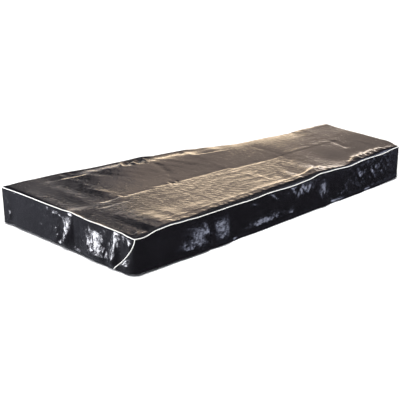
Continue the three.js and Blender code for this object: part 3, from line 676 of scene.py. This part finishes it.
def write_mesh(name, points, faces, materials, numbers=None, uv=None, sharp=SHEET_SHARP):
    """Object of that name with its place in its mesh: points in mm, quads or triangles by point
    number, the material number of each face and a UV in mm for each point."""
    mesh = bpy.data.meshes.new(name)
    mesh.vertices.add(len(points))
    mesh.vertices.foreach_set("co", (points * MM).astype(np.float32).ravel())
    mesh.loops.add(faces.size)
    mesh.loops.foreach_set("vertex_index", faces.astype(np.int32).ravel())
    mesh.polygons.add(len(faces))
    mesh.polygons.foreach_set("loop_start", np.arange(0, faces.size, faces.shape[1], dtype=np.int32))
    if numbers is not None:
        mesh.polygons.foreach_set("material_index", numbers.astype(np.int32))
    mesh.update(calc_edges=True)
    if uv is not None:
        layer = mesh.uv_layers.new(name="cut")
        layer.data.foreach_set("uv", (uv[faces.ravel()] * MM).astype(np.float32).ravel())
    mesh.shade_smooth()
    mesh.set_sharp_from_angle(angle=math.radians(sharp))
    if mesh.validate():
        raise RuntimeError(f"{name}: the mesh has faulty faces")
    for material in materials:
        mesh.materials.append(material)
    piece = bpy.data.objects.new(name, mesh)
    bpy.context.scene.collection.objects.link(piece)
    return piece


def grid_quads(rows, columns):
    """Point numbers of a grid, and its quads by point number."""
    number = np.arange(rows * columns).reshape(rows, columns)
    quads = np.stack([number[:-1, :-1], number[1:, :-1], number[1:, 1:], number[:-1, 1:]], -1)
    return number, quads.reshape(-1, 4)


def write_sheet(name, outer, inner, uv, materials):
    """Closed sheet of two grids with the same rows and columns: quads on each, turned away from
    each other, and a strip of quads round the rim that joins them."""
    number, face = grid_quads(*outer.shape[:2])
    under = number.size
    rim = np.concatenate([number[:-1, 0], number[-1, :-1], number[:0:-1, -1], number[0, :0:-1]])
    after = np.roll(rim, -1)
    strip = np.stack([after, rim, rim + under, after + under], -1)
    faces = np.concatenate([face, face[:, ::-1] + under, strip])
    numbers = np.concatenate([np.zeros(len(face)), np.ones(len(face)), np.zeros(len(strip))])
    points = np.concatenate([outer.reshape(-1, 3), inner.reshape(-1, 3)])
    flat = uv.reshape(-1, 2)
    return write_mesh(name, points, faces, materials, numbers, np.concatenate([flat, flat]))


def cord_rings(centre, bead, out, side):
    """Rings of points round a cord's centres, with a radius for each, on two directions across it."""
    around = (2 * np.pi * (np.arange(CORD_SIDES) + 0.5) / CORD_SIDES)[None, :, None]
    across = np.cos(around) * out[:, None] + np.sin(around) * side[:, None]
    return centre[:, None] + bead[:, None, None] * across


def write_cord(name, rings, closed, uv_along, materials):
    """Cord through rings of points, round on itself or with a flat cap of quads on each end."""
    count, sides = rings.shape[:2]
    number = np.arange(count * sides).reshape(count, sides)
    if closed:
        number = np.concatenate([number, number[:1]])
    around = np.roll(number, -1, axis=1)
    faces = np.stack([number[:-1], number[1:], around[1:], around[:-1]], -1).reshape(-1, 4)
    if not closed:
        k = np.arange(sides // 2 - 1)
        cap = np.stack([k, k + 1, sides - 2 - k, sides - 1 - k], -1)
        faces = np.concatenate([faces, number[0][cap], number[-1][cap[:, ::-1]]])
    uv = np.stack(np.broadcast_arrays(uv_along[:, None], np.arange(sides)[None, :] * 1.0), -1).reshape(-1, 2)
    return write_mesh(name, rings.reshape(-1, 3), faces, materials, None, uv, CORD_SHARP)


def node(tree, kind, sockets=None, **settings):
    """Adds a node, sets its properties, and fills or links its sockets by name or number."""
    made = tree.nodes.new(kind)
    for key, value in settings.items():
        setattr(made, key, value)
    for key, value in (sockets or {}).items():
        if isinstance(value, bpy.types.NodeSocket):
            tree.links.new(value, made.inputs[key])
        else:
            made.inputs[key].default_value = value
    return made


def rgba(colour, factor=1.0):
    """Colour with full alpha, scaled in brightness."""
    return tuple(min(value * factor, 1.0) for value in colour) + (1.0,)


def material(name):
    """Turns a function that gives the sockets of a shader from a tree, its coordinates and the
    colours into one that gives the node material of a name, which is made once."""

    def turn(sockets):
        def get(colours):
            made = bpy.data.materials.get(name)
            if made is None:
                made = bpy.data.materials.new(name)
                made.use_nodes = True
                tree = made.node_tree
                tree.nodes.clear()
                where = node(tree, "ShaderNodeTexCoord").outputs
                shader = node(tree, "ShaderNodeBsdfPrincipled", sockets(tree, where, colours))
                node(tree, "ShaderNodeOutputMaterial", {"Surface": shader.outputs["BSDF"]})
            return made
        return get
    return turn


VINYL_IOR = 1.52
BAND = math.pi / 10  # width of one straight band of a wave texture at scale 1
SLANT_BAND = math.pi / 5  # and of a diagonal one, measured along an axis


@material("calendered_black_vinyl")
def calendered_vinyl(tree, where, colours):
    """Black PVC coating rolled hot on to cloth: a smooth, deep black film that mirrors lights in
    broken streaks, because it is finely crinkled, handled dull in places and lightly grained."""
    place = where["Object"]
    # handling marks about 70 mm across, with scuffs of 14 mm in them
    marks = node(tree, "ShaderNodeTexNoise", {"Vector": place, "Scale": 1 / 0.070, "Detail": 3.0})
    scuffs = node(tree, "ShaderNodeTexNoise", {"Vector": place, "Scale": 1 / 0.014, "Detail": 4.0})
    both = node(tree, "ShaderNodeMath", {0: marks.outputs["Fac"], 1: scuffs.outputs["Fac"]}, operation="ADD")
    rough = node(tree, "ShaderNodeMapRange", {"Value": both.outputs[0], "From Min": 0.7, "From Max": 1.3,
                                              "To Min": 0.06, "To Max": 0.15})
    tint = node(tree, "ShaderNodeMix", {0: marks.outputs["Fac"], 6: rgba(colours.vinyl, 0.7),
                                        7: rgba(colours.vinyl, 1.4)}, data_type="RGBA")
    # film crinkles of 9 mm and grain, really 0.4 mm and drawn at 1.8 mm so that it shows
    crinkle = node(tree, "ShaderNodeTexNoise", {"Vector": place, "Scale": 1 / 0.009, "Detail": 2.0,
                                                "Distortion": 0.8})
    grain = node(tree, "ShaderNodeTexVoronoi", {"Vector": place, "Scale": 1 / 0.0018}, feature="SMOOTH_F1")
    pressed = node(tree, "ShaderNodeBump", {"Height": grain.outputs["Distance"], "Strength": 0.12,
                                            "Distance": 0.0002})
    bent = node(tree, "ShaderNodeBump", {"Height": crinkle.outputs["Fac"], "Strength": 0.5,
                                         "Distance": 0.0012, "Normal": pressed.outputs["Normal"]})
    return {"Base Color": tint.outputs[2], "Roughness": rough.outputs["Result"],
            "Normal": bent.outputs["Normal"], "IOR": VINYL_IOR}


@material("polyester_knit_backing")
def knitted_backing(tree, where, colours):
    """Dark polyester knit bonded inside the vinyl: matt, with rows of loops."""
    # loops really 1 mm apart, drawn at 6 mm so that the rows show
    loop = {"Vector": where["UV"], "Scale": BAND / 0.006, "Distortion": 0.6, "Detail": 1.0}
    across = node(tree, "ShaderNodeTexWave", loop, bands_direction="X")
    along = node(tree, "ShaderNodeTexWave", loop, bands_direction="Y")
    both = node(tree, "ShaderNodeMath", {0: across.outputs["Fac"], 1: along.outputs["Fac"]},
                operation="MULTIPLY")
    # wear about 50 mm across
    fade = node(tree, "ShaderNodeTexNoise", {"Vector": where["Object"], "Scale": 1 / 0.05})
    tint = node(tree, "ShaderNodeMix", {0: both.outputs[0], 6: rgba(colours.backing, 0.6),
                                        7: rgba(colours.backing, 1.5)}, data_type="RGBA")
    rough = node(tree, "ShaderNodeMapRange", {"Value": fade.outputs["Fac"], "To Min": 0.8, "To Max": 0.95})
    raised = node(tree, "ShaderNodeBump", {"Height": both.outputs[0], "Strength": 0.5, "Distance": 0.0004})
    return {"Base Color": tint.outputs[2], "Roughness": rough.outputs["Result"],
            "Normal": raised.outputs["Normal"]}


@material("white_welt_vinyl")
def welt_vinyl(tree, where, colours):
    """White vinyl strip sewn round a cord: satin, gently uneven over the cord, with faint soiling."""
    place = where["Object"]
    # soiling in patches about 40 mm across
    soil = node(tree, "ShaderNodeTexNoise", {"Vector": place, "Scale": 1 / 0.040, "Detail": 5.0})
    amount = node(tree, "ShaderNodeMapRange", {"Value": soil.outputs["Fac"], "From Min": 0.5,
                                               "From Max": 0.8})
    tint = node(tree, "ShaderNodeMix", {0: amount.outputs["Result"], 6: rgba(colours.piping),
                                        7: rgba(colours.piping, 0.72)}, data_type="RGBA")
    rough = node(tree, "ShaderNodeMapRange", {"Value": soil.outputs["Fac"], "To Min": 0.36, "To Max": 0.55})
    # puckers of the strip, one to each stitch of about 4 mm
    pucker = node(tree, "ShaderNodeTexNoise", {"Vector": place, "Scale": 1 / 0.004, "Detail": 2.0})
    raised = node(tree, "ShaderNodeBump", {"Height": pucker.outputs["Fac"], "Strength": 0.3,
                                           "Distance": 0.0006})
    return {"Base Color": tint.outputs[2], "Roughness": rough.outputs["Result"],
            "Normal": raised.outputs["Normal"], "IOR": VINYL_IOR}


@material("bonded_black_thread")
def bonded_thread(tree, where, colours):
    """Black bonded polyester thread: twisted and waxed, a little duller than the film."""
    # twist really 1 mm long, drawn at 7.54 mm so that it shades one stitch after another
    twist = node(tree, "ShaderNodeTexWave", {"Vector": where["Object"], "Scale": SLANT_BAND / 0.00754,
                                             "Distortion": 1.0}, bands_direction="DIAGONAL")
    tint = node(tree, "ShaderNodeMix", {0: twist.outputs["Fac"], 6: rgba(colours.thread, 0.6),
                                        7: rgba(colours.thread, 1.5)}, data_type="RGBA")
    rough = node(tree, "ShaderNodeMapRange", {"Value": twist.outputs["Fac"], "To Min": 0.42, "To Max": 0.6})
    raised = node(tree, "ShaderNodeBump", {"Height": twist.outputs["Fac"], "Strength": 0.4,
                                           "Distance": 0.0002})
    return {"Base Color": tint.outputs[2], "Roughness": rough.outputs["Result"],
            "Normal": raised.outputs["Normal"]}


@material("seamless_white_paper")
def seamless_paper(tree, where, colours):
    """Matt white studio paper: even, with a faint cloudiness half a metre across."""
    cloud = node(tree, "ShaderNodeTexNoise", {"Vector": where["Object"], "Scale": 1 / 0.5})
    tint = node(tree, "ShaderNodeMix", {0: cloud.outputs["Fac"], 6: rgba(colours.floor, 0.99),
                                        7: rgba(colours.floor)}, data_type="RGBA")
    return {"Base Color": tint.outputs[2], "Roughness": 0.95, "Specular IOR Level": 0.0}


def crowded(count, spots):
    """Shares from 0 to 1, closer together round some places: even steps of the running sum of a
    density, 1 plus a bell at each (place, half width, weight)."""
    t = np.linspace(0, 1, 4001)
    density = 1 + sum(weight * np.exp(-((t - place) / half) ** 2) for place, half, weight in spots)
    total = np.concatenate([[0], np.cumsum(density[1:] + density[:-1])])
    return np.interp(np.linspace(0, 1, count), total / total[-1], t)


class COVER_OT_top_panel(bpy.types.Operator):
    """Makes the top panel with its creases, swells and the pulls along its seams."""

    bl_idname = "cover.top_panel"
    bl_label = "Top panel"

    def execute(self, context):
        cut = Cut(context.scene.cover_sizes)
        colours = context.scene.cover_colours
        under = top_grid(cut, crowded(*TOP_COLUMNS), crowded(*TOP_ROWS))
        over = under + np.array([0, 0, cut.cloth])
        piece = write_sheet("top_cloth", over, under, under[..., :2],
                            (calendered_vinyl(colours), knitted_backing(colours)))
        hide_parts("top_panel")
        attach(piece, "root")
        return {"FINISHED"}


class COVER_OT_skirts(bpy.types.Operator):
    """Makes the four skirts: hanging folds, pulls, crumpled places and the doubled hem."""

    bl_idname = "cover.skirts"
    bl_label = "Skirts"

    def execute(self, context):
        cut = Cut(context.scene.cover_sizes)
        colours = context.scene.cover_colours
        fold = 1 - cut.hem / cut.drop
        shares = np.sort(np.concatenate([np.linspace(0, 1, SKIRT_ROWS), fold + HEM_ROWS]))[:, None]
        for k, (name, columns) in enumerate(zip(SIDES, SKIRT_COLUMNS)):
            end = (k + 1) % 4
            start, stop = side_seams(cut, k, shares)
            first, last = start + beside_seam(cut, k, shares), stop - beside_seam(cut, end, shares)
            place = mix(first, last, np.linspace(0, 1, columns)[None, :])
            share = shares + 0 * place
            below = share * cut.drop
            detail = skirt_detail(cut, place, below, np.minimum(place - first, last - place), k)
            # the doubled hem stands out below its fold line, and its sewing draws it in
            proud = HEM_STEP * ease((share - 1 + cut.hem / cut.drop) * cut.drop / HEM_BLEND + 0.5)
            depth, reach = STITCH_DRAWN
            drawn = -depth * np.exp(-((below - cut.drop + STITCH_HEIGHT) / reach) ** 2)
            half = cut.cloth / 2 + proud
            outer = wall(cut, place, share, half + drawn + detail)
            inner = wall(cut, place, share, detail - half)
            piece = write_sheet(f"{name}_cloth", outer, inner, np.stack([place, below], -1),
                                (calendered_vinyl(colours), knitted_backing(colours)))
            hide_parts(f"{name}_skirt")
            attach(piece, "root")
        return {"FINISHED"}


class COVER_OT_piping(bpy.types.Operator):
    """Makes the piping round the top seam and down the four corner seams."""

    bl_idname = "cover.piping"
    bl_label = "Piping"

    def execute(self, context):
        cut = Cut(context.scene.cover_sizes)
        welt = (welt_vinyl(context.scene.cover_colours),)
        place = np.arange(0, cut.loop, CORD_STEP)
        plan, normal = outline(cut, place, 0.0)
        centre = np.concatenate([plan, seam_height(cut, place)[:, None]], axis=1)
        mean, part, pitch, seed = BEAD_WAVES
        bead = cut.piping * (mean + part * ripple(place, pitch, seed))
        rings = cord_rings(centre, bead, np.pad(normal, ((0, 0), (0, 1))), np.array([[0, 0, 1.0]]))
        self.place(write_cord("top_welt", rings, True, place, welt), "top_piping")
        tip, part = CORD_TIP
        share = np.concatenate([[0], np.linspace(tip, 1 - tip, CORD_RINGS), [1]])
        bead = cut.piping * np.concatenate([[part], np.full(CORD_RINGS, 1.0), [part]])
        for k, name in enumerate(CORNERS):
            place = corner_seam(cut, k, share)
            normal = outline(cut, place, share)[1]
            centre = wall(cut, place, share, np.full(share.shape, cut.cloth / 2))
            side = np.stack([-normal[:, 1], normal[:, 0], 0 * share], -1)
            side = side * seam_stretch(cut, k, share)[:, None]
            rings = cord_rings(centre, bead, np.pad(normal, ((0, 0), (0, 1))), side)
            self.place(write_cord(f"{name}_welt", rings, False, share * cut.drop, welt), f"{name}_piping")
        return {"FINISHED"}

    def place(self, piece, solid):
        """The piping stands for its solid."""
        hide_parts(solid)
        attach(piece, "root")


class COVER_OT_hem_stitching(bpy.types.Operator):
    """Sews the hem of each skirt with a row of lozenge stitches."""

    bl_idname = "cover.hem_stitching"
    bl_label = "Hem stitching"

    def execute(self, context):
        cut = Cut(context.scene.cover_sizes)
        thread = (bonded_thread(context.scene.cover_colours),)
        level = 1 - STITCH_HEIGHT / cut.drop
        proud, broad, sunk = STITCH_ROUND
        # each stitch is a lozenge: two tips, and four points round its middle
        corners = np.array([(0, 2, 3), (0, 3, 4), (0, 4, 5), (0, 5, 2),
                            (1, 3, 2), (1, 4, 3), (1, 5, 4), (1, 2, 5)])
        for k, name in enumerate(SIDES):
            start, stop = side_seams(cut, k, level)
            first, last = start + STITCH_CLEAR, stop - STITCH_CLEAR
            place = np.arange(first, last, cut.stitch)
            ends = place[:, None] + STITCH_HALF * cut.stitch * np.array([-1.0, 1.0])
            share = np.full(ends.shape, level)
            beside = np.minimum(ends - first, last - ends) + STITCH_CLEAR
            detail = skirt_detail(cut, ends, share * cut.drop, beside, k)
            tip = wall(cut, ends, share, cut.cloth / 2 + HEM_STEP + detail - STITCH_SUNK)
            middle = tip.mean(1)
            along = (tip[:, 1] - tip[:, 0]) / np.linalg.norm(tip[:, 1] - tip[:, 0], axis=1)[:, None]
            out = np.cross(np.array([0, 0, -1.0]), along)
            up = np.cross(out, along)
            points = np.stack([tip[:, 0], tip[:, 1], middle + proud * out, middle + broad * up,
                               middle - sunk * out, middle - broad * up], axis=1)
            faces = (np.arange(len(place))[:, None, None] * 6 + corners[None]).reshape(-1, 3)
            piece = write_mesh(f"{name}_hem_stitches", points.reshape(-1, 3), faces, thread)
            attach(piece, "root")
        return {"FINISHED"}


CAMERA = {"azimuth": -41.26, "elevation": 18.246, "lens": 144.64, "sensor": 36, "distance": 5.7264,
          "aim": (-0.1176, 0.0, -0.0790)}
FLOOR_REACH = 14000  # half the floor's size
FLOOR_LINES = 9  # of its grid
FLOOR_GAP = 0.5  # below the hem
KEY_LIGHT = {"energy": 4.6, "angle": 0.7, "tilt": 33}
SKY_COLOUR = "dfe4f2"  # as the cover sees it
SKY_SIDE = (-0.57, 0.76, -0.31)  # the side on which the studio's walls are paler
SKY_CHANGE = (0.3, 1.0)  # cosine from that side at which they begin to be, and are in full
SKY_STRENGTH = (0.05, 0.36)  # before and after
# Softboxes: compass angle from +X and distance of their plane, from and to sideways, from and to in
# height, radiance, colour
SOFTBOXES = (
    ("low_warm_box", 41, 4.0, 0.05, 1.70, 0.12, 0.55, 4.2, "ffe6c6"),
    ("low_right_box", 41, 4.0, -1.1, 0.05, 0.12, 0.50, 4.4, "fff0e0"),
    ("warm_box", 41, 4.0, 0.05, 0.85, 0.55, 0.97, 2.2, "fde3c2"),
    ("left_warm_box", 41, 4.0, 0.85, 1.15, 0.55, 0.97, 1.2, "fde3c2"),
    ("right_warm_box", 41, 4.0, -0.40, 0.05, 0.50, 0.97, 1.15, "fbe3d0"),
    ("right_dim_box", 41, 4.0, -1.10, -0.40, 0.50, 0.97, 0.55, "fbe1cf"),
    ("high_warm_box", 41, 4.0, -0.35, 1.02, 0.97, 1.50, 0.74, "f8dfcc"),
    ("high_right_box", 41, 4.0, -1.1, -0.35, 0.97, 1.50, 0.50, "f8dfce"),
    ("top_warm_box", 41, 4.0, -0.1, 0.98, 1.50, 2.60, 0.95, "f6ddcc"),
    ("top_right_box", 41, 4.0, -1.1, -0.1, 1.50, 2.60, 0.92, "f6dfd0"),
    ("middle_top_box", 41, 4.0, 0.98, 1.17, 1.50, 2.3, 0.70, "f6e8e4"),
    ("far_low_box", 41, 4.0, 1.15, 1.7, 0.55, 1.12, 1.1, "faf0ee"),
    ("far_left_box", 41, 4.0, 1.02, 2.0, 1.12, 1.45, 0.14, "faf0ee"),
    ("far_top_box", 41, 4.0, 1.5, 2.4, 1.45, 2.3, 0.40, "faf0ee"),
    ("left_fill_box", 136, 3.6, -2.0, 2.0, -1.3, -0.60, 0.12, "e6eaff"),
    ("cool_left_box", 136, 3.5, -2.6, 2.6, -0.60, 0.80, 6.0, "f2f4ff"),
    ("left_core_box", 136, 3.45, -1.8, 1.8, -0.34, 0.22, 16.0, "fafbff"),
    ("cool_right_box", -36, 3.4, -2.4, 2.4, -0.74, 0.60, 1.2, "c6ceee"),
    ("right_core_box", -36, 3.35, -1.6, 1.6, -0.44, 0.18, 4.4, "dfe5fb"),
    ("front_sheen_box", -90, 4.2, -1.6, 1.6, 0.50, 2.40, 0.60, "eef0f6"),
    ("side_sheen_box", -45, 4.4, -1.2, 1.2, 0.95, 2.60, 0.55, "eef0f6"),
    ("rear_sheen_box", 225, 7.5, -2.4, 2.4, 1.20, 6.50, 1.00, "eef0f6"),
    ("end_sheen_box", 135, 4.4, -1.2, 1.2, 0.95, 2.60, 0.50, "eef0f6"),
    ("high_back_box", 30, 2.4, -2.2, 2.2, 2.90, 5.60, 0.80, "f2f2f4"),
    ("high_left_box", 120, 2.4, -2.2, 2.2, 2.90, 5.60, 0.50, "f2f2f4"),
    ("high_front_box", 210, 2.6, -2.2, 2.2, 3.10, 5.90, 0.65, "f2f2f4"),
    ("high_right_end_box", 300, 2.4, -2.2, 2.2, 2.90, 5.60, 0.50, "f2f2f4"),
)


class COVER_OT_stage(bpy.types.Operator):
    """Sets the floor, the softboxes, the sky and the camera."""

    bl_idname = "cover.stage"
    bl_label = "Stage"

    def execute(self, context):
        scene = context.scene
        span = np.linspace(-FLOOR_REACH, FLOOR_REACH, FLOOR_LINES)
        x, y = np.meshgrid(span, span)
        points = np.stack([x, y, np.full(x.shape, CAD_BOX[0][2] / MM - FLOOR_GAP)], -1).reshape(-1, 3)
        faces = grid_quads(FLOOR_LINES, FLOOR_LINES)[1][:, ::-1]
        floor = write_mesh("floor", points, faces, (seamless_paper(scene.cover_colours),))
        floor.visible_glossy = False

        for name, compass, distance, near, far, low, high, radiance, colour in SOFTBOXES:
            lamp = bpy.data.lights.new(name, "AREA")
            lamp.shape = "RECTANGLE"
            lamp.size, lamp.size_y = far - near, high - low
            lamp.energy = radiance * math.pi * lamp.size * lamp.size_y
            lamp.color = linear(colour)
            box = bpy.data.objects.new(name, lamp)
            forward = Vector((math.cos(math.radians(compass)), math.sin(math.radians(compass)), 0))
            left = Vector((-forward.y, forward.x, 0))
            box.location = forward * distance + left * (near + far) / 2 + Vector((0, 0, (low + high) / 2))
            box.rotation_euler = (-forward).to_track_quat("-Z", "Y").to_euler()
            box.visible_camera = False
            scene.collection.objects.link(box)

        sun = bpy.data.lights.new("key_light", "SUN")
        sun.energy, sun.angle = KEY_LIGHT["energy"], KEY_LIGHT["angle"]
        key = bpy.data.objects.new("key_light", sun)
        key.rotation_euler = (math.radians(KEY_LIGHT["tilt"]), 0, math.radians(CAMERA["azimuth"]))
        key.visible_glossy = False
        scene.collection.objects.link(key)

        world = bpy.data.worlds.new("studio")
        world.use_nodes = True
        tree = world.node_tree
        way = node(tree, "ShaderNodeTexCoord").outputs["Generated"]
        side = node(tree, "ShaderNodeVectorMath", {0: way, 1: SKY_SIDE}, operation="DOT_PRODUCT")
        light = node(tree, "ShaderNodeMapRange", {
            "Value": side.outputs["Value"], "From Min": SKY_CHANGE[0], "From Max": SKY_CHANGE[1],
            "To Min": SKY_STRENGTH[0], "To Max": SKY_STRENGTH[1]}, interpolation_type="SMOOTHSTEP")
        dim = node(tree, "ShaderNodeBackground", {"Color": linear(SKY_COLOUR) + (1,),
                                                  "Strength": light.outputs["Result"]})
        pale = node(tree, "ShaderNodeBackground", {"Color": (1, 1, 1, 1), "Strength": 1.0})
        ray = node(tree, "ShaderNodeLightPath").outputs["Is Camera Ray"]
        seen = node(tree, "ShaderNodeMixShader", {0: ray, 1: dim.outputs[0], 2: pale.outputs[0]})
        tree.links.new(seen.outputs[0], tree.nodes["World Output"].inputs["Surface"])
        scene.world = world
        scene.view_settings.view_transform = "Standard"

        lens = bpy.data.cameras.new("camera")
        lens.lens, lens.sensor_width, lens.sensor_fit = CAMERA["lens"], CAMERA["sensor"], "HORIZONTAL"
        camera = bpy.data.objects.new("camera", lens)
        a, e = math.radians(CAMERA["azimuth"]), math.radians(CAMERA["elevation"])
        back = Vector((math.sin(a) * math.cos(e), -math.cos(a) * math.cos(e), math.sin(e)))
        camera.location = Vector(CAMERA["aim"]) + back * CAMERA["distance"]
        camera.rotation_euler = (math.pi / 2 - e, 0, a)
        scene.collection.objects.link(camera)
        scene.camera = camera
        return {"FINISHED"}


class COVER_PT_panel(bpy.types.Panel):
    """Sidebar panel with the sizes, the colours and the steps."""

    bl_idname = "COVER_PT_panel"
    bl_label = "Xylophone cover"
    bl_space_type = "VIEW_3D"
    bl_region_type = "UI"
    bl_category = "Cover"

    def draw(self, context):
        for group in (context.scene.cover_sizes, context.scene.cover_colours):
            column = self.layout.column()
            for name in group.__annotations__:
                column.prop(group, name)
        for step in STEPS:
            self.layout.operator(step.bl_idname)


STEPS = (COVER_OT_top_panel, COVER_OT_skirts, COVER_OT_piping, COVER_OT_hem_stitching, COVER_OT_stage)
CLASSES = (CoverSizes, CoverColours, *STEPS, COVER_PT_panel)


def register():
    """Adds the classes and the cover's settings."""
    for item in CLASSES:
        bpy.utils.register_class(item)
    bpy.types.Scene.cover_sizes = bpy.props.PointerProperty(type=CoverSizes)
    bpy.types.Scene.cover_colours = bpy.props.PointerProperty(type=CoverColours)


def unregister():
    """Takes the settings and the classes away again."""
    del bpy.types.Scene.cover_sizes
    del bpy.types.Scene.cover_colours
    for item in reversed(CLASSES):
        bpy.utils.unregister_class(item)


def main():
    """Builds the cover and its studio."""
    register()
    bpy.ops.cover.top_panel()
    bpy.ops.cover.skirts()
    bpy.ops.cover.piping()
    bpy.ops.cover.hem_stitching()
    bpy.ops.cover.stage()


if __name__ == "__main__":
    main()
